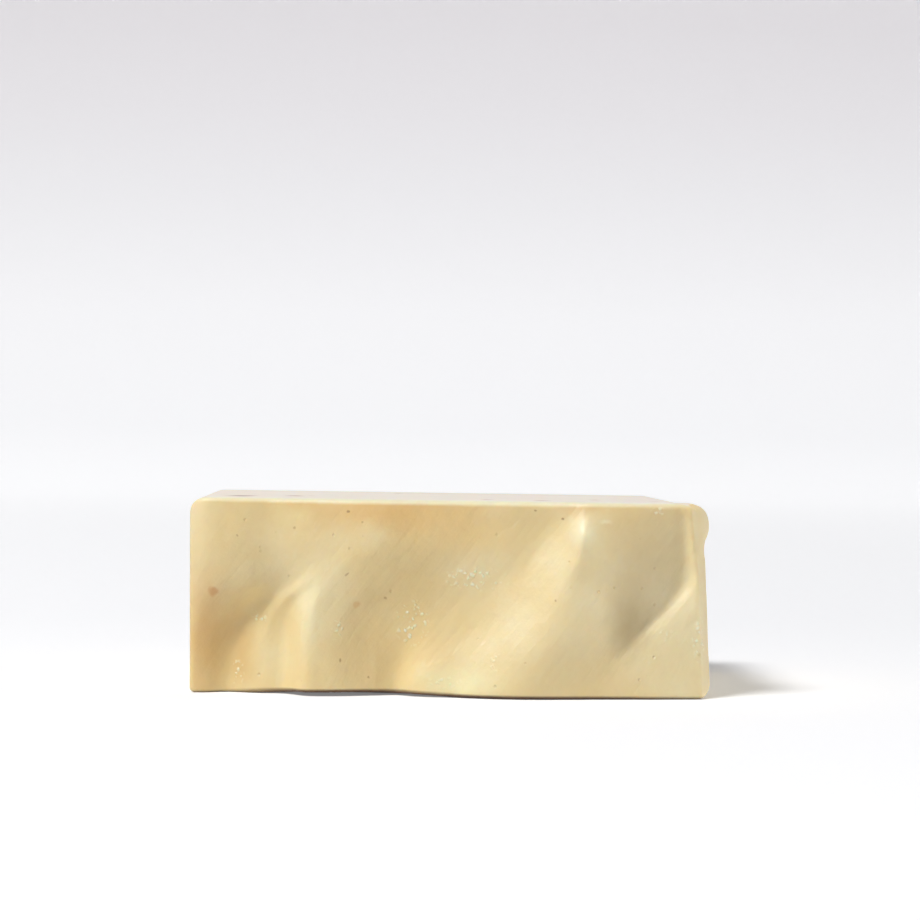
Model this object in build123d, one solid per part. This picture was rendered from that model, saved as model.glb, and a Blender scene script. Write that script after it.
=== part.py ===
from build123d import *
import math
import os

# A bar of hand-made soap, cut from a loaf.  It lies on one of its cut faces:
# X runs along the bar from one mould wall to the other, Z is up from the
# surface it rests on, and the hand-textured top of the loaf looks toward -Y.
# All sizes are in millimetres.

# ---- The cut block ----------------------------------------------------------
THICKNESS = 30.8          # from cut face to cut face
TEXTURE_PLANE = -27.5     # Y of the level from which the texture is measured
MOULD_BASE = 27.5         # Y of the flat back, cast against the mould's base
LEFT_FOOT, LEFT_HEAD = -40.9, -41.1     # X of the left wall, low and high
RIGHT_FOOT, RIGHT_HEAD = 41.5, 40.1     # X of the right wall, which leans in
MOULD_DRAFT = 0.7         # each wall closes in by this much toward the back
BLANK_LENGTH = 100.0      # the rough block the bar is trimmed from
BLANK_FRONT = -35.0

# ---- Edges ------------------------------------------------------------------
LEFT_SHOULDER = 2.4       # radius along the upper left edge
RIGHT_SHOULDER = 4.6      # the upper right edge has slumped more
LEFT_FOOT_RADIUS = 0.8
RIGHT_FOOT_RADIUS = 2.2
RIM_RADIUS = 0.7          # edge all round the textured face
BACK_RADIUS = 1.2         # edges round the mould base

# ---- The hand-textured face -------------------------------------------------
# The face is laid out on fold lines that climb it from the lower cut face to
# the upper one: crests, flanks and valleys worked by hand.  Each fold is given
# at the LEVELS (Z) below as (X, how far it stands proud).
LEVELS = (0, 5, 10, 14, 18, 23, 27.5, 31.5)
FOLDS = {
    "left edge": (
        (-42, -5.6), (-42, -5.4), (-42, -4.8), (-42, -4.3),
        (-42, -3.9), (-42, -3.6), (-42, -3.5), (-42, -3.7)),
    "left rounding": (
        (-40.3, -4.6), (-40.3, -4.4), (-40.2, -3.8), (-39.8, -3.2),
        (-39.2, -2.4), (-39, -1.8), (-39, -1.8), (-39, -2.0)),
    "left brow": (
        (-38.6, -4.7), (-38.6, -4.5), (-38.0, -4.0), (-36.2, -3.4),
        (-32.6, -2.3), (-34, -1.6), (-35, -1.6), (-35, -1.9)),
    "left valley": (
        (-34.4, -5.9), (-34.1, -6.1), (-32.8, -6.0), (-29.8, -5.2),
        (-25.4, -3.2), (-27, -2.0), (-28.5, -2.1), (-29, -2.1)),
    "fan edge": (
        (-33.4, -5.6), (-33.1, -5.8), (-31.8, -5.7), (-28.8, -5.0),
        (-24.1, -2.7), (-24.5, -1.6), (-26.6, -1.9), (-27, -1.9)),
    "left fan": (
        (-29.5, -4.6), (-29.5, -4.8), (-28.8, -4.8), (-27.2, -4.3),
        (-23.4, -2.1), (-22, -1.2), (-24, -1.6), (-25, -1.8)),
    "crescent foot": (
        (-25.8, -4.0), (-25.7, -4.3), (-25.6, -4.4), (-24.9, -3.8),
        (-22.4, -1.5), (-19, -0.9), (-19, -1.0), (-20, -1.5)),
    "crescent crest": (
        (-23, -1.0), (-23.2, -1.2), (-23.2, -1.3), (-22.4, -1.2),
        (-20, -0.8), (-14, -0.3), (-13.5, -0.4), (-14, -1.2)),
    "crescent back": (
        (-19.5, -0.7), (-19.8, -0.9), (-19.8, -1.0), (-18.8, -1.0),
        (-15.5, -0.9), (-9.5, -0.5), (-9, -0.6), (-9, -1.2)),
    "dome flank": (
        (-12.5, -2.6), (-12.8, -2.8), (-12.5, -2.8), (-11, -2.5),
        (-7.5, -1.9), (-4.5, -1.2), (-3.8, -1.1), (-3.5, -1.6)),
    "middle valley": (
        (-7.8, -3.6), (-7.4, -3.5), (-6.2, -3.3), (-3.6, -3.0),
        (-0.4, -2.6), (2.5, -2.3), (3.5, -2.0), (4, -1.8)),
    "valley step": (
        (-6.6, -2.6), (-6.0, -2.6), (-2.4, -2.9), (1, -3.0),
        (4.6, -2.8), (8, -2.4), (9.5, -2.2), (10, -1.8)),
    "swell foot": (
        (0, -0.8), (2, -1.1), (4.8, -2.0), (6.6, -2.4),
        (9.2, -2.4), (14.2, -2.0), (16.2, -1.9), (16, -1.6)),
    "swell flank": (
        (5.5, 0.8), (7.5, 0.5), (10, -0.1), (12.0, -0.5),
        (14.2, -0.6), (17.0, -0.6), (18.4, -1.2), (18.7, -1.6)),
    "swell crest": (
        (11, 1.2), (12.5, 1.6), (14.6, 1.6), (16.2, 1.4),
        (17.8, 1.3), (19.7, 1.1), (20.8, -0.1), (21.5, -1.3)),
    "swell back": (
        (17, 0.7), (19.5, 0.7), (22.8, 0.6), (22.8, 0.9),
        (21.8, 0.9), (22.4, 0.6), (24, -0.5), (25, -1.2)),
    "facet": (
        (20.5, 0.1), (22.8, -0.1), (26.2, -0.9), (28, -1.3),
        (29, -1.6), (30, -1.6), (30, -1.3), (30, -1.2)),
    "hollow": (
        (22.6, -0.2), (24.5, -0.7), (28.8, -2.2), (32.4, -3.1),
        (34.8, -3.6), (35, -3.2), (35, -2.5), (34.5, -1.8)),
    "crease": (
        (23.5, -0.3), (25.3, -0.9), (29.8, -2.6), (34.2, -3.7),
        (37.2, -4.3), (37.2, -3.7), (37, -2.9), (36.5, -2.0)),
    "crease foot": (
        (25.5, -0.5), (26.6, -1.1), (31, -2.5), (35.2, -3.4),
        (38, -3.9), (38, -3.2), (37.7, -2.5), (37.5, -1.8)),
    "right ridge": (
        (31, -1.1), (32, -1.7), (34.8, -2.5), (37.2, -3.1),
        (39.0, -3.4), (38.8, -2.5), (38.6, -2.0), (38.4, -1.7)),
    "right edge": (
        (43, -2.9), (43, -3.2), (43, -3.4), (43, -3.4),
        (43, -3.4), (43, -3.2), (43, -2.9), (43, -2.6)),
}
# Small lumps that stand on the folds: X, Z, height and radius.
LUMPS = {
    "knob at the head of the swell": (20.2, 26.0, 0.8, 1.9),
    "blister on the dome": (-12.0, 25.0, 0.3, 3.0),
    "smear beside the knob": (24.6, 28.2, 0.3, 1.5),
    "hump on the left shoulder": (-33.0, 25.0, 0.3, 3.5),
}
SURFACE_HALF_LENGTH = 46   # the surface runs past the block on every side
SURFACE_LOW, SURFACE_HIGH = -3, 35
GRID_STEP = 1.0
SHEET_TOLERANCE = 0.03

# ---- The trimmed right corner -----------------------------------------------
# A slanting bevel between the texture and the right wall, wide at the top.
BEVEL_HEAD = (37.5, -25.4, 28)
BEVEL_FOOT = (40.0, -24.2, 4)
BEVEL_BACK = (41.1, -21.2, 16)
BEVEL_SOFTENING = 0.3

# ---- The smeared lip at the upper right corner -------------------------------
LIP_INNER, LIP_OUTER = 36.0, 41.4     # X, from inside the bar to its proud edge
LIP_FRONT, LIP_BACK = -22.6, -15.5    # Y
LIP_UNDERSIDE = 24.9                  # Z
LIP_CROWN = 3.2                       # radius over the top
LIP_FOLD = 1.3                        # radius along the lower edge
LIP_END = 0.9                         # radius at the back, where it dies away

# ---- The shallow lift under the lower front edge ----------------------------
LIFT_CENTRE = (-17, -27, -0.3)
LIFT_RADII = (19, 8, 0.9)


def through(stations, values, at):
    """The height at `at` of a smooth curve drawn through (station, value)."""
    last = len(stations) - 1
    gaps = [stations[i + 1] - stations[i] for i in range(last)]
    rises = [(values[i + 1] - values[i]) / gaps[i] for i in range(last)]
    slopes = [rises[0]]
    for i in range(1, last):
        slopes.append((rises[i - 1] * gaps[i] + rises[i] * gaps[i - 1]) / (gaps[i] + gaps[i - 1]))
    slopes.append(rises[-1])
    if at <= stations[0]:
        return values[0] + slopes[0] * (at - stations[0])
    if at >= stations[-1]:
        return values[-1] + slopes[-1] * (at - stations[-1])
    i = max(k for k in range(last) if stations[k] <= at)
    t, gap = (at - stations[i]) / gaps[i], gaps[i]
    return (values[i] * (1 + 2 * t) * (1 - t) ** 2
            + slopes[i] * gap * t * (1 - t) ** 2
            + values[i + 1] * t * t * (3 - 2 * t)
            - slopes[i + 1] * gap * t * t * (1 - t))


def section_at(z):
    """The fold lines' X positions and heights where they cross the level z."""
    level = min(max(z, LEVELS[0]), LEVELS[-1])
    xs, proud = [], []
    for fold in FOLDS.values():
        xs.append(through(LEVELS, [point[0] for point in fold], level))
        proud.append(through(LEVELS, [point[1] for point in fold], level))
    return xs, proud


def steps(start, stop, step):
    """Evenly spaced numbers from start to stop, both included."""
    count = round((stop - start) / step)
    return [start + (stop - start) * i / count for i in range(count + 1)]


def lumps_at(x, z):
    """How far the small lumps raise the surface at X and Z."""
    raised = 0.0
    for lump_x, lump_z, height, radius in LUMPS.values():
        raised += height * math.exp(-((x - lump_x) ** 2 + (z - lump_z) ** 2) / radius ** 2)
    return raised


def textured_surface():
    """A smooth sheet laid over the folds and lumps."""
    rows = []
    for z in steps(SURFACE_LOW, SURFACE_HIGH, GRID_STEP):
        xs, proud = section_at(z)
        rows.append([
            Vector(x, TEXTURE_PLANE - through(xs, proud, x) - lumps_at(x, z), z)
            for x in steps(-SURFACE_HALF_LENGTH, SURFACE_HALF_LENGTH, GRID_STEP)
        ])
    return Face.make_surface_from_array_of_points(rows, tol=SHEET_TOLERANCE, min_deg=3)


def ellipsoid(centre, radii):
    """A solid ellipsoid with its axes along X, Y and Z."""
    return Pos(*centre) * scale(Sphere(1), by=radii)


def plane_through(first, second, third, outward):
    """The plane through three points whose normal has the sign of `outward` along X."""
    a, b, c = Vector(*first), Vector(*second), Vector(*third)
    normal = (b - a).cross(c - a).normalized()
    if normal.X * outward < 0:
        normal = normal * -1
    return Plane(origin=a, x_dir=b - a, z_dir=normal)


def wall(foot, head, inward):
    """The plane of a mould wall, leaning in height and closing toward the back."""
    return plane_through(
        (foot, TEXTURE_PLANE, 0), (head, TEXTURE_PLANE, THICKNESS),
        (foot + inward * MOULD_DRAFT, MOULD_BASE, 0), outward=-inward)


os.makedirs("parts", exist_ok=True)

# The slab of the loaf, its walls leaning as the mould and the knife left them.
blank = Box(BLANK_LENGTH, MOULD_BASE - BLANK_FRONT, THICKNESS, align=(Align.CENTER, Align.MAX, Align.MIN))
slab = Pos(0, MOULD_BASE, 0) * blank
for plane in (wall(LEFT_FOOT, LEFT_HEAD, 1), wall(RIGHT_FOOT, RIGHT_HEAD, -1)):
    slab = split(slab, bisect_by=plane, keep=Keep.BOTTOM)

# Round the four edges that run front to back.
for corner_x, corner_z, radius in (
        (LEFT_HEAD, THICKNESS, LEFT_SHOULDER), (RIGHT_HEAD, THICKNESS, RIGHT_SHOULDER),
        (LEFT_FOOT, 0, LEFT_FOOT_RADIUS), (RIGHT_FOOT, 0, RIGHT_FOOT_RADIUS)):
    corner = Vector(corner_x, 0, corner_z)
    slab = fillet(slab.edges().sort_by_distance(corner)[0], radius)
slab = fillet(slab.faces().sort_by(Axis.Y)[-1].edges(), BACK_RADIUS)

# Trim the front with the textured sheet and round its rim.
sheet = textured_surface()
bar = slab & extrude(sheet, amount=BLANK_LENGTH, dir=(0, 1, 0))
texture = bar.faces().filter_by(GeomType.BSPLINE).sort_by(SortBy.AREA)[-1]
bar = fillet(texture.edges(), RIM_RADIUS)

# Smear a lip over the upper right corner.
lip = Box(LIP_OUTER - LIP_INNER, LIP_BACK - LIP_FRONT, THICKNESS - LIP_UNDERSIDE,
          align=(Align.MIN, Align.MIN, Align.MIN))
lip = Pos(LIP_INNER, LIP_FRONT, LIP_UNDERSIDE) * lip
for edge_z, radius in ((THICKNESS, LIP_CROWN), (LIP_UNDERSIDE, LIP_FOLD)):
    edge = Vector(LIP_OUTER, (LIP_FRONT + LIP_BACK) / 2, edge_z)
    lip = fillet(lip.edges().sort_by_distance(edge)[0], radius)
lip = fillet(lip.faces().sort_by(Axis.Y)[-1].edges(), LIP_END)
bar = bar + lip

# Bevel the right corner and soften the bevel's edges.
bevel = plane_through(BEVEL_HEAD, BEVEL_FOOT, BEVEL_BACK, outward=1)
bar = split(bar, bisect_by=bevel, keep=Keep.BOTTOM)
facet = bar.faces().filter_by(bevel).sort_by(SortBy.AREA)[-1]
bar = fillet(facet.edges(), BEVEL_SOFTENING)

# Lift the lower front edge a little.
bar = bar - ellipsoid(LIFT_CENTRE, LIFT_RADII)

# Stand the bar over the origin.
box = bar.bounding_box()
bar = Pos(-box.center().X, -box.center().Y, -box.min.Z) * bar
bar.label = "soap_bar"
export_step(bar, "parts/soap_bar.step")
print(f"soap_bar {box.size.X:.2f} x {box.size.Y:.2f} x {box.size.Z:.2f} mm, {bar.volume / 1000:.1f} cm3")
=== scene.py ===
"""A bar of hand-made soap, cut from a loaf, lying on one of its cut faces.

The bar is one solid piece.  Its skin is a fine mesh drawn over the CAD solid,
with small ripples worked into the textured face.  The finer pits, drag marks and
cutting lines are relief in its material, a waxy, slightly see-through soap.  A
pale floor and backdrop stand around it.
"""

import logging
import math
from dataclasses import dataclass, field
from enum import Enum
from typing import Any

import bpy
from mathutils import Matrix, Vector

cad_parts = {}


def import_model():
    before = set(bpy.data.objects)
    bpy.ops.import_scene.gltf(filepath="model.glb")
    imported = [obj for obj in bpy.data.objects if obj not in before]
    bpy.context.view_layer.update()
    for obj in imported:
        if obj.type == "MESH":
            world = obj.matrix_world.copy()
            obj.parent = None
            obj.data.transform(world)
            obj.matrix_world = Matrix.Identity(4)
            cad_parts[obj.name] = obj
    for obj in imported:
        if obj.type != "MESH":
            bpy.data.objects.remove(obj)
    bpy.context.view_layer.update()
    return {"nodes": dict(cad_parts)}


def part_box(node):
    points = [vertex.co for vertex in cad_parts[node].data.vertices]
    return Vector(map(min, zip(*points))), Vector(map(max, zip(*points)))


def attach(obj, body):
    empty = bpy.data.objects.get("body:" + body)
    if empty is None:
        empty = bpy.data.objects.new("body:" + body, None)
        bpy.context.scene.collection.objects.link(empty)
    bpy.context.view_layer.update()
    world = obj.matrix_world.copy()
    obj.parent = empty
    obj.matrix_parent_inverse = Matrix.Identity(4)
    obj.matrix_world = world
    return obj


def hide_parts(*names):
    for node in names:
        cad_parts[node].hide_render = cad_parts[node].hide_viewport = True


LOG = logging.getLogger("soap")
MM = 0.001
# The attribute that notes on the bar which way its surface faces.
FACING = "facing"
# A Mix node names several sockets alike, so its colour sockets go by number.
MIX_SHARE, MIX_UNDER, MIX_OVER, MIX_RESULT = 0, 6, 7, 2


# ---------------------------------------------------------------------------
# Small helpers
# ---------------------------------------------------------------------------


def linear(hex_colour: str) -> tuple[float, float, float, float]:
    """Turns an sRGB hex colour into a linear one.

    Args:
        hex_colour: six hexadecimal digits, such as "e8d2a0".

    Returns:
        The colour as linear red, green, blue and an alpha of 1.
    """
    channels = [int(hex_colour[i:i + 2], 16) / 255 for i in (0, 2, 4)]
    red, green, blue = (
        c / 12.92 if c <= 0.04045 else ((c + 0.055) / 1.055) ** 2.4 for c in channels)
    return (red, green, blue, 1.0)


def per_metre(size_mm: float) -> float:
    """Returns the texture scale at which one cell of a pattern is size_mm across."""
    return 1.0 / (size_mm * MM)


def millimetres(point: tuple[float, float, float]) -> Vector:
    """Returns a point given in millimetres as a vector in metres."""
    return Vector(point) * MM


def add_node(
    tree: bpy.types.NodeTree,
    kind: str,
    settings: dict[str, Any] | None = None,
    links: dict[str | int, Any] | None = None,
) -> bpy.types.Node:
    """Adds one node with its settings and links.

    Args:
        tree: the node tree that the node joins.
        kind: the node's type, such as "ShaderNodeMath".
        settings: properties of the node, by name.
        links: for each input socket, by name or number, the output socket that
            feeds it, or a plain value for the socket itself.

    Returns:
        The new node.
    """
    node = tree.nodes.new(kind)
    for name, value in (settings or {}).items():
        setattr(node, name, value)
    for key, value in (links or {}).items():
        if isinstance(value, bpy.types.NodeSocket):
            tree.links.new(value, node.inputs[key])
        else:
            node.inputs[key].default_value = value
    return node


def seen_by_eye(tree: bpy.types.NodeTree) -> bpy.types.NodeSocket:
    """Picks out the rays that the eye sees by, straight, mirrored or through glass.

    Args:
        tree: the node tree that asks.

    Returns:
        A value of 1 on such a ray and 0 on a ray that only carries light.
    """
    rays = add_node(tree, "ShaderNodeLightPath")
    seen = rays.outputs["Is Camera Ray"]
    for kind in ("Is Glossy Ray", "Is Transmission Ray"):
        seen = add_node(tree, "ShaderNodeMath", {"operation": "MAXIMUM"}, {
            0: seen, 1: rays.outputs[kind]}).outputs["Value"]
    return seen


def new_material(name: str) -> tuple[bpy.types.Material, bpy.types.NodeTree]:
    """Makes an empty node material.

    Args:
        name: the material's name.

    Returns:
        The material and its node tree, with no nodes in it.
    """
    material = bpy.data.materials.new(name)
    material.use_nodes = True
    material.node_tree.nodes.clear()
    return material, material.node_tree


def activate(piece: bpy.types.Object) -> None:
    """Deselects everything, then selects one piece and makes it active."""
    bpy.ops.object.select_all(action="DESELECT")
    piece.select_set(True)
    bpy.context.view_layer.objects.active = piece


def apply_modifier(piece: bpy.types.Object, kind: str, **settings: Any) -> None:
    """Adds one modifier to a piece and applies it.

    Args:
        piece: the piece it works on.
        kind: the modifier's type, such as "REMESH".
        settings: the modifier's properties, by name.
    """
    activate(piece)
    modifier = piece.modifiers.new(kind.title(), kind)
    for name, value in settings.items():
        setattr(modifier, name, value)
    bpy.ops.object.modifier_apply(modifier=modifier.name)


# ---------------------------------------------------------------------------
# The soap
# ---------------------------------------------------------------------------


class Side(Enum):
    """The faces of the bar, by how the loaf and the knife made them."""

    TEXTURED = "textured"
    CUT = "cut"
    MOULDED = "moulded"


@dataclass(frozen=True)
class Patch:
    """A soft-edged place where the soap's colour drifts.

    Attributes:
        centre_mm: its middle.
        radii_mm: how far it reaches along X, Y and Z before it has faded out.
        colour: the sRGB hex colour it drifts to; on some patches this colour
        is painted highlight or painted shade.
        strength: how much of that colour shows in the middle, from 0 to 1.
        core: the share of the radius that has the full strength.
    """

    centre_mm: tuple[float, float, float]
    radii_mm: tuple[float, float, float]
    colour: str
    strength: float
    core: float = 0.0

    def mask(self, tree: bpy.types.NodeTree, place: bpy.types.NodeSocket) -> bpy.types.NodeSocket:
        """Draws where the patch is.

        Args:
            tree: the material's node tree.
            place: the position on the object, in metres.

        Returns:
            A value of 0 outside the patch that rises to its strength in the middle.
        """
        scale = [1 / (radius * MM) for radius in self.radii_mm]
        shift = [-centre / radius for centre, radius in zip(self.centre_mm, self.radii_mm)]
        inside = add_node(tree, "ShaderNodeMapping", links={
            "Vector": place, "Location": shift, "Scale": scale})
        reach = add_node(tree, "ShaderNodeVectorMath", {"operation": "LENGTH"}, {
            0: inside.outputs["Vector"]})
        fade = add_node(tree, "ShaderNodeMapRange", {"interpolation_type": "SMOOTHSTEP"}, {
            "Value": reach.outputs["Value"], "From Min": 1.0, "From Max": self.core,
            "To Min": 0.0, "To Max": self.strength})
        return fade.outputs["Result"]


# Where flecks and stains lie, and how far they reach in through the soap.
FLECK_Y_MM, FLECK_REACH_MM, FLECK_CORE = -25.5, 6.0, 0.35
STAIN_Z_MM, STAIN_REACH_MM = 30.8, 1.2
# Stains are longer from front to back than along the bar, by this much.
STAIN_STRETCH = 1.7


def on_face(x: float, z: float, radius: float, colour: str, strength: float) -> Patch:
    """Returns a round fleck on the textured face, at X and Z in millimetres."""
    return Patch(
        (x, FLECK_Y_MM, z), (radius, FLECK_REACH_MM, radius), colour, strength, core=FLECK_CORE)


def on_top(x: float, y: float, radius: float, colour: str, strength: float) -> Patch:
    """Returns a stain on the upper cut face, at X and Y in millimetres."""
    return Patch(
        (x, y, STAIN_Z_MM), (radius, STAIN_STRETCH * radius, STAIN_REACH_MM), colour, strength)


# Slow tints of the soap.  Some of them are painted shade that darkens a hollow
# and some are painted highlight that lightens a crest, as noted at each, so
# they stand for light and shade as well as for colour.
TINTS_AND_PAINTED_SHADING = (
    Patch((-11.0, -26.0, 29.0), (22.0, 9.0, 5.0), "e6b469", 0.45),
    Patch((1.0, -25.0, 26.0), (13.0, 8.0, 7.0), "fbdb9c", 0.65),
    # Darker orange down the left end: partly the soap's own colour, partly painted shade in the
    # valley there.
    Patch((-38.5, -22.0, 10.0), (5.0, 14.0, 15.0), "dba355", 0.40),
    Patch((-33.5, -22.0, 8.0), (3.5, 8.0, 11.0), "d3a05c", 0.30),
    # Painted highlight on the lit slope of the fan at the lower left.
    Patch((-28.0, -24.0, 6.0), (5.0, 8.0, 7.0), "f8ecc2", 0.65),
    Patch((-13.5, -25.0, 8.0), (8.0, 8.0, 13.0), "e2c68c", 0.30),
    # Painted shade over the right hollow; the next patch deepens its middle.
    Patch((29.5, -24.0, 19.0), (11.0, 9.0, 14.0), "d3c39e", 0.55),
    Patch((27.5, -24.0, 12.0), (5.5, 9.0, 9.0), "b49e70", 0.60),
    Patch((-12.5, -26.0, 25.0), (4.5, 8.0, 4.0), "f9eabd", 0.45),
    Patch((-25.0, -26.0, 28.3), (5.0, 8.0, 2.6), "fae8b2", 0.55),
    Patch((20.0, -26.0, 30.2), (4.5, 8.0, 2.4), "dcb97c", 0.60),
    Patch((21.0, -26.0, 3.0), (19.0, 9.0, 8.0), "e6d5a8", 0.40),
    Patch((36.0, -25.0, 6.0), (10.0, 9.0, 12.0), "eedca8", 0.35),
    # Painted highlight on the lit flank of the crescent.
    Patch((-22.5, -26.0, 12.0), (3.2, 8.0, 9.0), "f8eec6", 0.65),
    # Painted highlight on the knob at the top of the diagonal ridge.
    Patch((20.2, -26.0, 26.0), (3.0, 8.0, 3.0), "faf2d0", 0.70),
    # Painted highlight low on the swell, near the lower edge.
    Patch((0.0, -27.0, 2.5), (13.0, 8.0, 4.5), "fdf2c6", 0.75),
    # Painted highlight along a short bright crack beside the knob.
    Patch((23.6, -26.0, 27.6), (1.8, 8.0, 0.55), "fff3cc", 0.70),
    Patch((41.0, -22.0, 14.0), (2.4, 8.0, 22.0), "e2cfa6", 0.60),
)
FLECKS = (
    on_face(-37.4, 16.1, 1.1, "cf8c4c", 0.50),
    on_face(-16.4, 29.2, 0.34, "96683a", 0.60),
    on_face(-14.3, 27.2, 0.30, "a87c4a", 0.45),
    on_face(17.3, 28.2, 0.32, "96683a", 0.55),
    on_face(13.0, 29.4, 0.30, "96683a", 0.50),
    on_face(-16.4, 19.4, 0.32, "a87c4a", 0.45),
    on_face(-10.5, 15.4, 0.32, "a87c4a", 0.45),
    on_face(-17.3, 5.5, 0.34, "96683a", 0.55),
    on_face(-14.8, 14.5, 0.9, "d9a866", 0.40),
    on_face(15.9, 15.3, 0.30, "a87c4a", 0.50),
    on_face(-33.5, 24.8, 0.28, "b48a56", 0.45),
    on_face(-24.8, 26.4, 0.28, "b48a56", 0.45),
    on_face(-13.0, 2.9, 0.30, "96683a", 0.50),
)
STAINS = (
    on_top(-33.9, -14.0, 3.0, "8f4a26", 0.90),
    on_top(-32.2, -10.5, 1.4, "a8623a", 0.60),
    on_top(-25.1, -9.0, 2.2, "a8623a", 0.70),
    on_top(-22.6, -7.0, 1.0, "b8794e", 0.50),
    on_top(5.6, -14.0, 1.8, "c08c60", 0.55),
    on_top(14.5, -16.0, 2.0, "b8794e", 0.55),
    on_top(23.4, -8.0, 1.5, "c08c60", 0.50),
    on_top(-8.0, 15.0, 1.3, "c79a6c", 0.45),
    on_top(33.0, -12.0, 1.2, "c79a6c", 0.45),
)
# The glint grains are lightened to this colour as painted highlight, on top of the shine from
# their low roughness and bump.
PAINTED_GLINT_COLOUR = "fff9d8"
GLINT_CLUSTERS = (
    Patch((3.5, -26.0, 18.5), (6.5, 8.0, 2.4), PAINTED_GLINT_COLOUR, 1.0, core=0.4),
    Patch((-6.2, -25.0, 11.5), (3.2, 8.0, 4.4), PAINTED_GLINT_COLOUR, 1.0, core=0.5),
    Patch((-17.6, -26.0, 10.5), (1.8, 8.0, 2.6), PAINTED_GLINT_COLOUR, 0.9),
    Patch((-33.6, -22.0, 3.2), (1.3, 8.0, 2.6), PAINTED_GLINT_COLOUR, 1.0, core=0.4),
    Patch((-30.2, -22.0, 12.2), (1.6, 8.0, 2.2), PAINTED_GLINT_COLOUR, 0.9, core=0.3),
    Patch((7.2, -26.0, 5.5), (2.0, 8.0, 1.6), PAINTED_GLINT_COLOUR, 0.9, core=0.3),
    Patch((-1.0, -26.0, 2.4), (5.0, 8.0, 1.4), PAINTED_GLINT_COLOUR, 0.55),
    Patch((33.7, -25.0, 10.0), (2.0, 8.0, 1.5), PAINTED_GLINT_COLOUR, 0.8),
    Patch((39.0, -23.0, 9.5), (1.4, 8.0, 4.6), PAINTED_GLINT_COLOUR, 1.0, core=0.3),
    Patch((32.7, -25.0, 29.6), (2.2, 8.0, 0.9), PAINTED_GLINT_COLOUR, 1.0, core=0.3),
)
# Straight along the edges: a painted highlight along the upper rim, and a dark
# line of painted shade that stands for the shaded gap under the lower edge,
# which is lifted a little on the left.
PAINTED_EDGE_HIGHLIGHT_AND_SHADE = (
    Patch((-2.0, -25.0, 30.8), (70.0, 5.0, 1.0), "fff6d6", 0.80, core=0.3),
    Patch((0.0, -27.0, -0.2), (70.0, 14.0, 1.0), "54321c", 0.95, core=0.5),
    Patch((-17.0, -27.0, 0.35), (22.0, 12.0, 0.95), "54321c", 0.95, core=0.5),
)


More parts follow.
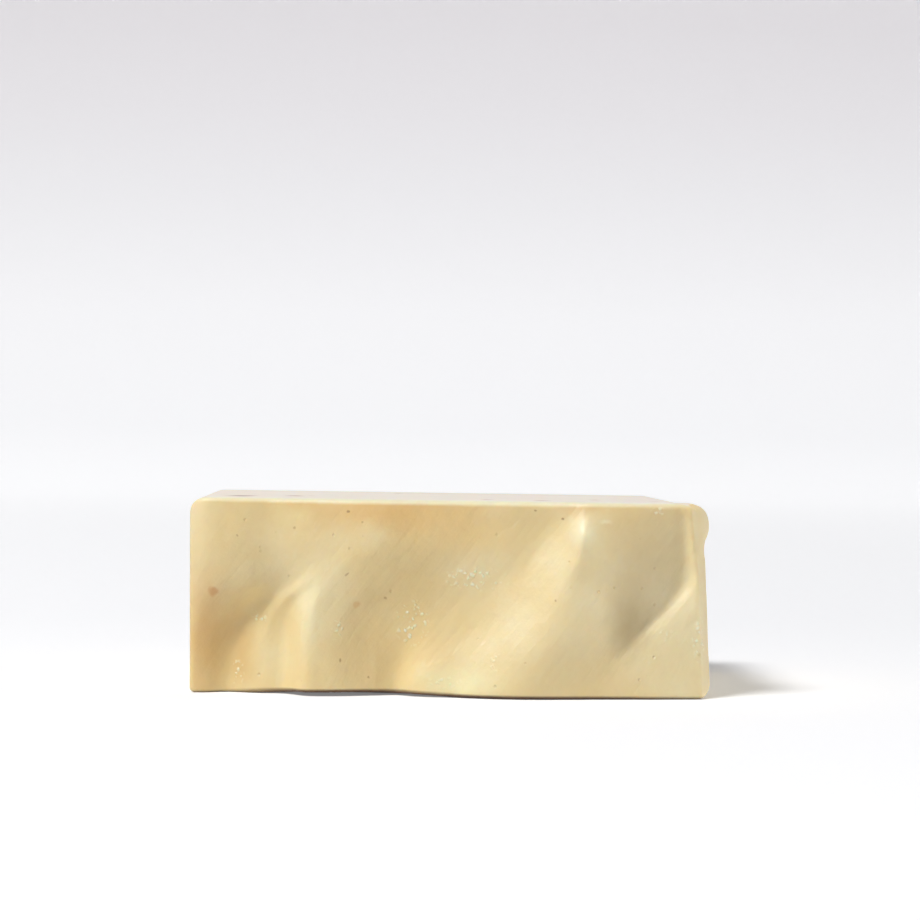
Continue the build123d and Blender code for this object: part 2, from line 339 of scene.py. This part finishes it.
@dataclass(frozen=True)
class ColdProcessSoap:
    """Cold-process soap, poured, textured by hand, cut and cured.

    The eye gets a waxy, slightly see-through body with soft edges that glow, a
    satin skin, slow drifts of cream and yellow, and a few tiny brown specks.
    The textured face has pits, drag marks and clusters of small glints.  The
    glints shine and are also lightened as painted highlight, and the pits are
    darkened as painted shade.  The cut faces are paler, with fine parallel
    lines, and the moulded faces have only faint pits; both of these are plain
    guesses at how such faces look.  Part of the cut faces' paleness is a
    painted sheen of the light they catch edge-on.  Some tints, the pale upper
    rim and the dark line under the lower edge are painted highlight and shade.
    """

    body: str = "efdaa6"
    pale: str = "f4e6bd"
    deep: str = "ebd297"
    # The cut faces' colour is paler partly as a painted sheen of the light they catch edge-on.
    cut: str = "ffedda"
    speck_and_pit_shade: str = "b98f58"
    roughness: float = 0.42
    glint_roughness: float = 0.12
    ior: float = 1.46
    subsurface: float = 0.75
    subsurface_scale_mm: float = 1.0
    subsurface_reach: tuple[float, float, float] = (1.0, 0.75, 0.45)
    # How far the surface has to face forward, or up or down, to be one of
    # the textured or the cut faces: where that starts, and where it is full.
    forward: tuple[float, float] = (-0.45, -0.65)
    upright: tuple[float, float] = (0.80, 0.95)
    # Slow drift of the colour, and where its deep and pale ends lie.
    drift_mm: float = 26.0
    drift_detail: float = 4.0
    drift_roughness: float = 0.55
    drift_ends: tuple[float, float] = (0.32, 0.68)
    # The size of the bends in the outlines of the tints, and how far they swing.
    wander_mm: tuple[float, float] = (3.0, 2.2)
    # Fine brown mottle, from where the noise shows it, and how strongly.
    mottle_mm: float = 1.6
    mottle_range: tuple[float, float] = (0.48, 0.75)
    mottle_share: float = 0.05
    # Fine relief: grain, drag marks, pits, cutting lines and shiny grains.
    grain_mm: float = 0.9
    grain_height_mm: float = 0.045
    fine_roughness: float = 0.6
    drag_mm: tuple[float, float] = (7.0, 0.9)
    drag_turn: float = 52.0
    drag_height_mm: float = 0.10
    pit_spacing_mm: float = 2.3
    pit_radius: float = 0.14
    pit_floor: float = 0.04
    pit_skipped: float = 0.75
    # How far the pits are darkened toward the brown mottle colour, as painted shade.
    pit_painted_shade: float = 0.15
    pit_elsewhere: float = 0.25
    pit_depth_mm: float = 0.10
    wire_mm: tuple[float, float] = (30.0, 0.5)
    wire_height_mm: float = 0.02
    glint_mm: float = 0.75
    glint_torn_mm: float = 0.8
    glint_edge: tuple[float, float] = (0.50, 0.18)
    glint_skipped: float = 0.2
    glint_height_mm: float = 0.10

    def make(self) -> bpy.types.Material:
        """Builds the material.

        Returns:
            The finished soap material.
        """
        material, tree = new_material("cold_process_soap")
        place = add_node(tree, "ShaderNodeTexCoord").outputs["Object"]
        facing = add_node(tree, "ShaderNodeAttribute", {"attribute_name": FACING})
        sides = self.side_masks(tree, facing.outputs["Vector"])
        pits = self.pits(tree, place, sides[Side.TEXTURED])
        glints = self.glints(tree, place)
        colour = self.colour(tree, place, sides, pits, glints)
        smooth = self.drawn(tree, glints, self.roughness, self.glint_roughness)
        shader = add_node(tree, "ShaderNodeBsdfPrincipled", links={
            "Base Color": colour,
            "Roughness": smooth,
            "IOR": self.ior,
            "Subsurface Weight": self.subsurface,
            "Subsurface Scale": self.subsurface_scale_mm * MM,
            "Subsurface Radius": self.subsurface_reach,
            "Normal": self.relief(tree, place, sides, pits, glints),
        })
        add_node(tree, "ShaderNodeOutputMaterial", links={"Surface": shader.outputs["BSDF"]})
        return material

    def side_masks(
        self, tree: bpy.types.NodeTree, facing: bpy.types.NodeSocket,
    ) -> dict[Side, bpy.types.NodeSocket]:
        """Tells the textured, cut and moulded faces apart by the way they face.

        Args:
            tree: the material's node tree.
            facing: the direction the surface faces, as noted on the bar.

        Returns:
            For each kind of face, a value that is 1 on it and 0 off it.
        """
        axes = add_node(tree, "ShaderNodeSeparateXYZ", links={0: facing})
        flat = add_node(tree, "ShaderNodeMath", {"operation": "ABSOLUTE"}, {0: axes.outputs["Z"]})
        front = add_node(tree, "ShaderNodeMapRange", links={
            "Value": axes.outputs["Y"],
            "From Min": self.forward[0], "From Max": self.forward[1]})
        cut = add_node(tree, "ShaderNodeMapRange", links={
            "Value": flat.outputs["Value"],
            "From Min": self.upright[0], "From Max": self.upright[1]})
        either = add_node(tree, "ShaderNodeMath", {"operation": "MAXIMUM"}, {
            0: front.outputs["Result"], 1: cut.outputs["Result"]})
        rest = add_node(tree, "ShaderNodeMath", {"operation": "SUBTRACT"}, {
            0: 1.0, 1: either.outputs["Value"]})
        return {
            Side.TEXTURED: front.outputs["Result"],
            Side.CUT: cut.outputs["Result"],
            Side.MOULDED: rest.outputs["Value"],
        }

    def colour(
        self,
        tree: bpy.types.NodeTree,
        place: bpy.types.NodeSocket,
        sides: dict[Side, bpy.types.NodeSocket],
        pits: bpy.types.NodeSocket,
        glints: bpy.types.NodeSocket,
    ) -> bpy.types.NodeSocket:
        """Paints the soap's slow drifts, its tints, flecks and stains.

        Args:
            tree: the material's node tree.
            place: the position on the object, in metres.
            sides: the masks of the kinds of face.
            pits: the mask of the small pits, which also sets their painted shade.
            glints: the mask of the shiny grains, which also sets their painted
            highlight.

        Returns:
            The soap's colour, painted highlight and shade included.
        """
        drift = add_node(tree, "ShaderNodeTexNoise", links={
            "Vector": place, "Scale": per_metre(self.drift_mm),
            "Detail": self.drift_detail, "Roughness": self.drift_roughness})
        ramp_node = add_node(tree, "ShaderNodeValToRGB", links={"Fac": drift.outputs["Fac"]})
        ramp = ramp_node.color_ramp
        for stop, position, tone in zip(
                ramp.elements, self.drift_ends, (self.deep, self.pale), strict=True):
            stop.position, stop.color = position, linear(tone)
        ramp.elements.new(0.5).color = linear(self.body)
        wander = add_node(tree, "ShaderNodeTexNoise", links={
            "Vector": place, "Scale": per_metre(self.wander_mm[0]), "Detail": 3.0})
        swing = add_node(tree, "ShaderNodeVectorMath", {"operation": "MULTIPLY_ADD"}, {
            0: wander.outputs["Color"], 1: [self.wander_mm[1] * MM] * 3,
            2: [-self.wander_mm[1] * MM / 2] * 3})
        near = add_node(tree, "ShaderNodeVectorMath", {"operation": "ADD"}, {
            0: place, 1: swing.outputs["Vector"]}).outputs["Vector"]
        # The cut faces take the paler cut colour, which is partly a painted sheen.
        colour = self.mixed(
            tree, sides[Side.CUT], ramp_node.outputs["Color"], linear(self.cut))
        # Some of these patches are painted highlight and painted shade, as noted where they are
        # listed.
        for patches, where in (((*TINTS_AND_PAINTED_SHADING, *FLECKS, *STAINS), near), (PAINTED_EDGE_HIGHLIGHT_AND_SHADE, place)):
            for patch in patches:
                share = patch.mask(tree, where)
                colour = self.mixed(tree, share, colour, linear(patch.colour))
        mottle = add_node(tree, "ShaderNodeTexNoise", links={
            "Vector": place, "Scale": per_metre(self.mottle_mm),
            "Detail": 3.0, "Roughness": self.fine_roughness})
        mottled = add_node(tree, "ShaderNodeMapRange", links={
            "Value": mottle.outputs["Fac"],
            "From Min": self.mottle_range[0], "From Max": self.mottle_range[1],
            "To Min": 0.0, "To Max": self.mottle_share})
        colour = self.mixed(tree, mottled.outputs["Result"], colour, linear(self.speck_and_pit_shade))
        # Painted shade: the pits are darkened toward the brown mottle colour.
        pit_shade = self.drawn(tree, pits, 0.0, self.pit_painted_shade)
        colour = self.mixed(tree, pit_shade, colour, linear(self.speck_and_pit_shade))
        # Painted highlight: the glint grains are lightened toward the glint colour.
        return self.mixed(tree, glints, colour, linear(PAINTED_GLINT_COLOUR))

    def mixed(
        self,
        tree: bpy.types.NodeTree,
        share: bpy.types.NodeSocket,
        under: bpy.types.NodeSocket,
        over: tuple[float, float, float, float],
    ) -> bpy.types.NodeSocket:
        """Lays one colour over another.

        Args:
            tree: the material's node tree.
            share: how much of the upper colour shows.
            under: the colour below.
            over: the colour laid over it.

        Returns:
            The mixed colour.
        """
        blend = add_node(tree, "ShaderNodeMix", {"data_type": "RGBA"}, {
            MIX_SHARE: share, MIX_UNDER: under, MIX_OVER: over})
        return blend.outputs[MIX_RESULT]

    def drawn(
        self, tree: bpy.types.NodeTree, mask: bpy.types.NodeSocket, low: float, high: float,
    ) -> bpy.types.NodeSocket:
        """Turns a mask of 0 to 1 into a value that runs from low to high.

        Args:
            tree: the material's node tree.
            mask: the mask.
            low: the value where the mask is 0.
            high: the value where the mask is 1.

        Returns:
            The value.
        """
        scaled = add_node(tree, "ShaderNodeMapRange", links={
            "Value": mask, "To Min": low, "To Max": high})
        return scaled.outputs["Result"]

    def pits(
        self,
        tree: bpy.types.NodeTree,
        place: bpy.types.NodeSocket,
        textured: bpy.types.NodeSocket,
    ) -> bpy.types.NodeSocket:
        """Draws the small pits, one in a quarter of the pattern's cells.

        Args:
            tree: the material's node tree.
            place: the position on the object, in metres.
            textured: the mask of the textured face.

        Returns:
            A value of 1 in the middle of a pit and 0 outside it.
        """
        cells = add_node(tree, "ShaderNodeTexVoronoi", links={
            "Vector": place, "Scale": per_metre(self.pit_spacing_mm), "Randomness": 1.0})
        hole = add_node(tree, "ShaderNodeMapRange", {"interpolation_type": "SMOOTHSTEP"}, {
            "Value": cells.outputs["Distance"],
            "From Min": self.pit_radius, "From Max": self.pit_floor})
        chance = add_node(tree, "ShaderNodeSeparateColor", links={0: cells.outputs["Color"]})
        chosen = add_node(tree, "ShaderNodeMath", {"operation": "GREATER_THAN"}, {
            0: chance.outputs["Red"], 1: self.pit_skipped})
        share = add_node(tree, "ShaderNodeMath", {"operation": "MULTIPLY"}, {
            0: hole.outputs["Result"], 1: chosen.outputs["Value"]})
        kept = self.drawn(tree, textured, self.pit_elsewhere, 1.0)
        return add_node(tree, "ShaderNodeMath", {"operation": "MULTIPLY"}, {
            0: share.outputs["Value"], 1: kept}).outputs["Value"]

    def glints(
        self, tree: bpy.types.NodeTree, place: bpy.types.NodeSocket,
    ) -> bpy.types.NodeSocket:
        """Draws the clusters of small shiny grains on the textured face.

        Args:
            tree: the material's node tree.
            place: the position on the object, in metres.

        Returns:
            A value of 1 on a shiny grain and 0 off it.
        """
        ragged = add_node(tree, "ShaderNodeTexNoise", links={
            "Vector": place, "Scale": per_metre(self.glint_torn_mm), "Detail": 1.0})
        torn = add_node(tree, "ShaderNodeVectorMath", {"operation": "MULTIPLY_ADD"}, {
            0: ragged.outputs["Color"], 1: [self.glint_mm * MM] * 3, 2: place})
        cells = add_node(tree, "ShaderNodeTexVoronoi", links={
            "Vector": torn.outputs["Vector"], "Scale": per_metre(self.glint_mm),
            "Randomness": 1.0})
        dots = add_node(tree, "ShaderNodeMapRange", {"interpolation_type": "SMOOTHSTEP"}, {
            "Value": cells.outputs["Distance"],
            "From Min": self.glint_edge[0], "From Max": self.glint_edge[1]})
        chance = add_node(tree, "ShaderNodeSeparateColor", links={0: cells.outputs["Color"]})
        chosen = add_node(tree, "ShaderNodeMath", {"operation": "GREATER_THAN"}, {
            0: chance.outputs["Green"], 1: self.glint_skipped})
        clusters = None
        for patch in GLINT_CLUSTERS:
            mask = patch.mask(tree, place)
            if clusters is not None:
                mask = add_node(tree, "ShaderNodeMath", {"operation": "MAXIMUM"}, {
                    0: clusters, 1: mask}).outputs["Value"]
            clusters = mask
        grains = add_node(tree, "ShaderNodeMath", {"operation": "MULTIPLY"}, {
            0: dots.outputs["Result"], 1: chosen.outputs["Value"]})
        return add_node(tree, "ShaderNodeMath", {"operation": "MULTIPLY"}, {
            0: grains.outputs["Value"], 1: clusters}).outputs["Value"]

    def relief(
        self,
        tree: bpy.types.NodeTree,
        place: bpy.types.NodeSocket,
        sides: dict[Side, bpy.types.NodeSocket],
        pits: bpy.types.NodeSocket,
        glints: bpy.types.NodeSocket,
    ) -> bpy.types.NodeSocket:
        """Adds up the fine relief: grain, drag marks, cutting lines, pits and glints.

        Args:
            tree: the material's node tree.
            place: the position on the object, in metres.
            sides: the masks of the kinds of face.
            pits: the mask of the small pits.
            glints: the mask of the shiny grains.

        Returns:
            The direction in which the finely worked surface faces.
        """
        grain = add_node(tree, "ShaderNodeTexNoise", links={
            "Vector": place, "Scale": per_metre(self.grain_mm),
            "Detail": 3.0, "Roughness": self.fine_roughness})
        turned = add_node(tree, "ShaderNodeMapping", {"vector_type": "TEXTURE"}, {
            "Vector": place, "Rotation": (0.0, math.radians(-self.drag_turn), 0.0),
            "Scale": (self.drag_mm[0] / self.drag_mm[1], 1.0, 1.0)})
        drag = add_node(tree, "ShaderNodeTexNoise", links={
            "Vector": turned.outputs["Vector"], "Scale": per_metre(self.drag_mm[1]),
            "Detail": 2.0})
        along = add_node(tree, "ShaderNodeMapping", {"vector_type": "TEXTURE"}, {
            "Vector": place, "Scale": (self.wire_mm[0] / self.wire_mm[1], 1.0, 1.0)})
        wire = add_node(tree, "ShaderNodeTexNoise", links={
            "Vector": along.outputs["Vector"], "Scale": per_metre(self.wire_mm[1]), "Detail": 1.0})
        height = self.drawn(tree, grain.outputs["Fac"], 0.0, self.grain_height_mm)
        for pattern, where, depth_mm in (
                (drag.outputs["Fac"], sides[Side.TEXTURED], self.drag_height_mm),
                (wire.outputs["Fac"], sides[Side.CUT], self.wire_height_mm),
                (pits, None, -self.pit_depth_mm),
                (glints, None, self.glint_height_mm)):
            share = pattern
            if where is not None:
                share = add_node(tree, "ShaderNodeMath", {"operation": "MULTIPLY"}, {
                    0: pattern, 1: where}).outputs["Value"]
            height = add_node(tree, "ShaderNodeMath", {"operation": "MULTIPLY_ADD"}, {
                0: share, 1: depth_mm, 2: height}).outputs["Value"]
        # Heights are in millimetres, so one unit of height is one of Distance.
        bump = add_node(tree, "ShaderNodeBump", links={
            "Height": height, "Strength": 1.0, "Distance": MM})
        return bump.outputs["Normal"]


@dataclass
class SoapBar:
    """The bar itself.

    Attributes:
        node: the CAD node that gives its shape.
        voxel_mm: the spacing of the fine mesh.
        ripple_mm: the size and height of the small ripples in the textured face.
        ripple_depth: how many finer layers the ripples have.
        lip_mm: how far the smeared lip reaches in from the right end, down from
            the top and back from the front.
        lip_softening: how strongly each pass smooths the lip.
        lip_passes: how many passes smooth it.
        forward: how far forward a vertex faces, at least, to be rippled.
        weld: the distance, in metres, at which the CAD's corners are one.
        finish: the soap it is made of.
    """

    node: str = "soap_bar"
    voxel_mm: float = 0.46
    ripple_mm: tuple[float, float] = (2.4, 0.16)
    ripple_depth: int = 2
    lip_mm: tuple[float, float, float] = (3.2, 8.5, 18.0)
    lip_softening: float = 0.5
    lip_passes: int = 40
    forward: float = -0.6
    weld: float = 1e-6
    finish: ColdProcessSoap = field(default_factory=ColdProcessSoap)

    def build(self, nodes: dict[str, bpy.types.Object]) -> bpy.types.Object:
        """Builds and dresses the bar.

        Args:
            nodes: the CAD nodes, by name.

        Returns:
            The finished bar.
        """
        skin = self.copy_of(nodes[self.node], "cad_skin")
        piece = self.copy_of(nodes[self.node], "handmade_soap")
        apply_modifier(piece, "REMESH", mode="VOXEL", voxel_size=self.voxel_mm * MM)
        apply_modifier(piece, "SHRINKWRAP", target=skin, wrap_method="NEAREST_SURFACEPOINT")
        bpy.data.objects.remove(skin)
        self.smear_lip(piece)
        self.ripple(piece)
        self.note_facing(piece)
        activate(piece)
        bpy.ops.object.shade_smooth()
        piece.data.materials.clear()
        piece.data.materials.append(self.finish.make())
        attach(piece, "root")
        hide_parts(self.node)
        return piece

    def smear_lip(self, piece: bpy.types.Object) -> None:
        """Rounds the lip at the upper right corner, so it looks smeared on.

        Args:
            piece: the bar.
        """
        low, high = (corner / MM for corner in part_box(self.node))
        inward, downward, backward = self.lip_mm
        group = piece.vertex_groups.new(name="lip")
        near_lip = [
            v.index for v in piece.data.vertices
            if v.co.x / MM > high.x - inward and v.co.z / MM > high.z - downward
            and v.co.y / MM < low.y + backward]
        group.add(near_lip, 1.0, "REPLACE")
        apply_modifier(
            piece, "SMOOTH", factor=self.lip_softening, iterations=self.lip_passes,
            vertex_group=group.name)
        piece.vertex_groups.clear()

    def ripple(self, piece: bpy.types.Object) -> None:
        """Works small ripples into the textured face.

        Args:
            piece: the bar.
        """
        group = piece.vertex_groups.new(name=Side.TEXTURED.value)
        faces_front = [v.index for v in piece.data.vertices if v.normal.y < self.forward]
        group.add(faces_front, 1.0, "REPLACE")
        clouds = bpy.data.textures.new("hand_ripples", "CLOUDS")
        size_mm, height_mm = self.ripple_mm
        clouds.noise_scale, clouds.noise_depth = size_mm * MM, self.ripple_depth
        apply_modifier(
            piece, "DISPLACE", texture=clouds, texture_coords="LOCAL", mid_level=0.5,
            strength=height_mm * MM, vertex_group=group.name)
        piece.vertex_groups.clear()

    def note_facing(self, piece: bpy.types.Object) -> None:
        """Notes on each vertex which way the surface faces, for the soap to read.

        Args:
            piece: the bar.
        """
        mesh = piece.data
        normals = [0.0] * (3 * len(mesh.vertices))
        mesh.vertices.foreach_get("normal", normals)
        mesh.attributes.new(FACING, "FLOAT_VECTOR", "POINT").data.foreach_set("vector", normals)

    def copy_of(self, source: bpy.types.Object, name: str) -> bpy.types.Object:
        """Copies a CAD node and merges its loose triangles.

        Args:
            source: the CAD node's object.
            name: the copy's name.

        Returns:
            The copy, a closed mesh of its own.
        """
        activate(source)
        bpy.ops.object.duplicate(linked=False)
        piece = bpy.context.view_layer.objects.active
        piece.name = piece.data.name = name
        for key in list(piece.keys()):
            del piece[key]
        activate(piece)
        bpy.ops.object.mode_set(mode="EDIT")
        bpy.ops.mesh.select_all(action="SELECT")
        bpy.ops.mesh.remove_doubles(threshold=self.weld)
        bpy.ops.object.mode_set(mode="OBJECT")
        return piece


# ---------------------------------------------------------------------------
# Floor, backdrop, light and camera
# ---------------------------------------------------------------------------


@dataclass(frozen=True)
class MattPaper:
    """Matt white background paper.

    It gives the eye an even pale ground that still takes the object's shadow.
    What the eye sees of it, straight or mirrored, is lifted a little, so it
    reads as white without more light on the object.

    Attributes:
        name: the material's name.
        colour: the paper's colour.
        glow: the heights in millimetres, from low to high, and the sRGB hex
            colour that it is lifted by at each.
        glow_strength: how much of the lift shows.
        far: how far back on the floor the second colour starts to show, and
            where it has taken over.
    """

    name: str
    colour: str
    glow: tuple[tuple[float, str], ...]
    glow_strength: float
    far: tuple[float, float]

    def make(self) -> bpy.types.Material:
        """Builds the material.

        Returns:
            The finished paper.
        """
        material, tree = new_material(self.name)
        place = add_node(tree, "ShaderNodeTexCoord").outputs["Object"]
        axes = add_node(tree, "ShaderNodeSeparateXYZ", links={0: place})
        heights = [height_mm * MM for height_mm, _ in self.glow]
        far = add_node(tree, "ShaderNodeMapRange", links={
            "Value": axes.outputs["Y"], "From Min": self.far[0], "From Max": self.far[1],
            "To Max": heights[1]})
        raised = add_node(tree, "ShaderNodeMath", {"operation": "ADD"}, {
            0: axes.outputs["Z"], 1: far.outputs["Result"]})
        height = add_node(tree, "ShaderNodeMapRange", links={
            "Value": raised.outputs["Value"], "From Min": 0.0, "From Max": heights[-1]})
        shade = add_node(tree, "ShaderNodeValToRGB", links={"Fac": height.outputs["Result"]})
        ramp = shade.color_ramp
        while len(ramp.elements) > 1:
            ramp.elements.remove(ramp.elements[-1])
        ramp.elements[0].position, ramp.elements[0].color = 0.0, linear(self.glow[0][1])
        for level, (_, glow) in zip(heights[1:], self.glow[1:], strict=True):
            ramp.elements.new(level / heights[-1]).color = linear(glow)
        paper = add_node(tree, "ShaderNodeBsdfDiffuse", links={"Color": linear(self.colour)})
        strength = add_node(tree, "ShaderNodeMath", {"operation": "MULTIPLY"}, {
            0: seen_by_eye(tree), 1: self.glow_strength})
        lift = add_node(tree, "ShaderNodeEmission", links={
            "Color": shade.outputs["Color"], "Strength": strength.outputs["Value"]})
        both = add_node(tree, "ShaderNodeAddShader", links={
            0: paper.outputs["BSDF"], 1: lift.outputs["Emission"]})
        add_node(tree, "ShaderNodeOutputMaterial", links={"Surface": both.outputs["Shader"]})
        return material


WHITE_PAPER = MattPaper(
    name="white_background_paper",
    colour="f4f4f5",
    glow=(
        (0, "aeaeaf"), (20, "ffffff"), (60, "ebebec"), (140, "e2e1e2"),
        (232, "c4c1c3"), (292, "b1aaad"), (370, "988d91")),
    glow_strength=0.46,
    far=(0.15, 1.1))


@dataclass(frozen=True)
class SoftLamp:
    """A square area lamp that faces the bar.

    Attributes:
        name: the lamp's name.
        place: where it stands, in metres.
        size: the length of its side, in metres.
        power: its power in watts.
        mirrored: whether the soap's shine shows it.
        aim_mm: the point it faces, the middle of the bar.
    """

    name: str
    place: tuple[float, float, float]
    size: float
    power: float
    mirrored: bool = True
    aim_mm: tuple[float, float, float] = (0.0, 0.0, 15.0)

    def make(self) -> bpy.types.Object:
        """Adds the lamp to the scene.

        Returns:
            The lamp.
        """
        data = bpy.data.lights.new(self.name, "AREA")
        data.size, data.energy = self.size, self.power
        lamp = bpy.data.objects.new(self.name, data)
        lamp.visible_glossy = self.mirrored
        lamp.location = self.place
        aim = millimetres(self.aim_mm) - Vector(self.place)
        lamp.rotation_euler = aim.to_track_quat("-Z", "Y").to_euler()
        bpy.context.scene.collection.objects.link(lamp)
        return lamp


@dataclass
class Studio:
    """The pale floor and backdrop, the soft lamps and the camera.

    Attributes:
        paper: the paper of the floor and backdrop.
        floor_half_width: how far the floor reaches to each side, in metres.
        floor_near: where the floor starts, in front of the bar.
        floor_far: where it starts to curve up, behind the bar.
        sweep_radius: the radius of that curve.
        sweep_steps: how many flat steps the curve has.
        edge_slack: how near floor_far an edge lies to be the far edge.
        backdrop_height: how high the backdrop goes on above the curve.
        lamps: the key at the upper left, and a low light from the right.
        world_colour: the sRGB hex colour of the room around it all.
        world_light: how strongly that room lights the bar.
        world_seen: how bright the room itself looks, straight or mirrored.
        lens_mm: the camera's focal length.
        sensor_mm: the width of its sensor.
        clip: the nearest and farthest it sees, in metres.
        camera_mm: where the camera stands.
        camera_turn: how far it is turned to the left, in degrees; below 0 is right.
        camera_dip: how far it looks down.
        camera_roll: how far it is rolled.
    """

    paper: MattPaper = WHITE_PAPER
    floor_half_width: float = 3.0
    floor_near: float = -1.5
    floor_far: float = 1.1
    sweep_radius: float = 0.5
    sweep_steps: int = 24
    edge_slack: float = 0.001
    backdrop_height: float = 2.0
    lamps: tuple[SoftLamp, ...] = (
        SoftLamp("soft_key", (-0.82, -0.82, 1.50), 0.5, 28.8),
        SoftLamp("low_side_light", (1.5, 0.15, 0.14), 0.24, 10.0, mirrored=False))
    world_colour: str = "f6f7ff"
    world_light: float = 0.15
    world_seen: float = 0.9
    lens_mm: float = 106.6
    sensor_mm: float = 36.0
    clip: tuple[float, float] = (0.01, 20.0)
    camera_mm: tuple[float, float, float] = (-17.0, -450.7, 42.4)
    camera_turn: float = -2.40
    camera_dip: float = 0.70
    camera_roll: float = 0.9

    def build(self) -> None:
        """Builds the whole set."""
        self.build_sweep()
        self.build_lights()
        self.build_camera()

    def build_sweep(self) -> bpy.types.Object:
        """Makes the floor and backdrop as one sheet that curves up at the back.

        Returns:
            The sheet.
        """
        bpy.ops.object.select_all(action="DESELECT")
        bpy.ops.mesh.primitive_plane_add(size=1.0, location=(0.0, 0.0, 0.0))
        sweep = bpy.context.active_object
        sweep.name = sweep.data.name = "paper_sweep"
        sweep.scale = (2 * self.floor_half_width, self.floor_far - self.floor_near, 1.0)
        sweep.location = (0.0, (self.floor_far + self.floor_near) / 2, 0.0)
        bpy.ops.object.transform_apply(location=True, rotation=False, scale=True)
        for edge in sweep.data.edges:
            ends = [sweep.data.vertices[i].co.y for i in edge.vertices]
            edge.select = min(ends) > self.floor_far - self.edge_slack
        for vertex in sweep.data.vertices:
            vertex.select = vertex.co.y > self.floor_far - self.edge_slack
        for face in sweep.data.polygons:
            face.select = False
        bpy.ops.object.mode_set(mode="EDIT")
        bpy.ops.mesh.select_mode(type="EDGE")
        bpy.ops.mesh.spin(
            steps=self.sweep_steps, angle=-math.pi / 2, axis=(1.0, 0.0, 0.0),
            center=(0.0, self.floor_far, self.sweep_radius))
        bpy.ops.mesh.extrude_region_move(
            TRANSFORM_OT_translate={"value": (0.0, 0.0, self.backdrop_height)})
        bpy.ops.mesh.select_all(action="SELECT")
        bpy.ops.mesh.normals_make_consistent(inside=False)
        bpy.ops.object.mode_set(mode="OBJECT")
        bpy.ops.object.shade_smooth()
        sweep.data.materials.append(self.paper.make())
        return sweep

    def build_lights(self) -> None:
        """Adds the lamps and a pale room around them."""
        for lamp in self.lamps:
            lamp.make()
        world = bpy.data.worlds.new("pale_room")
        bpy.context.scene.world = world
        world.use_nodes = True
        tree = world.node_tree
        background = tree.nodes["Background"]
        background.inputs["Color"].default_value = linear(self.world_colour)
        strength = add_node(tree, "ShaderNodeMapRange", links={
            "Value": seen_by_eye(tree), "To Min": self.world_light, "To Max": self.world_seen})
        tree.links.new(strength.outputs["Result"], background.inputs["Strength"])

    def build_camera(self) -> None:
        """Adds the camera, close above the floor and a little turned on its axis."""
        data = bpy.data.cameras.new("camera")
        data.lens, data.sensor_width = self.lens_mm, self.sensor_mm
        data.clip_start, data.clip_end = self.clip
        camera = bpy.data.objects.new("camera", data)
        turn = Matrix.Rotation(math.radians(self.camera_turn), 4, "Z")
        pitch = Matrix.Rotation(math.radians(90 - self.camera_dip), 4, "X")
        roll = Matrix.Rotation(math.radians(self.camera_roll), 4, "Z")
        place = Matrix.Translation(millimetres(self.camera_mm))
        camera.matrix_world = place @ turn @ pitch @ roll
        bpy.context.scene.collection.objects.link(camera)
        bpy.context.scene.camera = camera


def main() -> None:
    """Loads the frame, builds every piece in order and notes the sizes."""
    logging.basicConfig(level=logging.INFO, format="%(name)s: %(message)s")
    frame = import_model()
    bpy.context.scene.view_settings.view_transform = "Standard"
    bar = SoapBar().build(frame["nodes"])
    LOG.info("%s: %d faces", bar.name, len(bar.data.polygons))
    Studio().build()
    LOG.info("studio: sweep, lamps and camera")


if __name__ == "__main__":
    main()
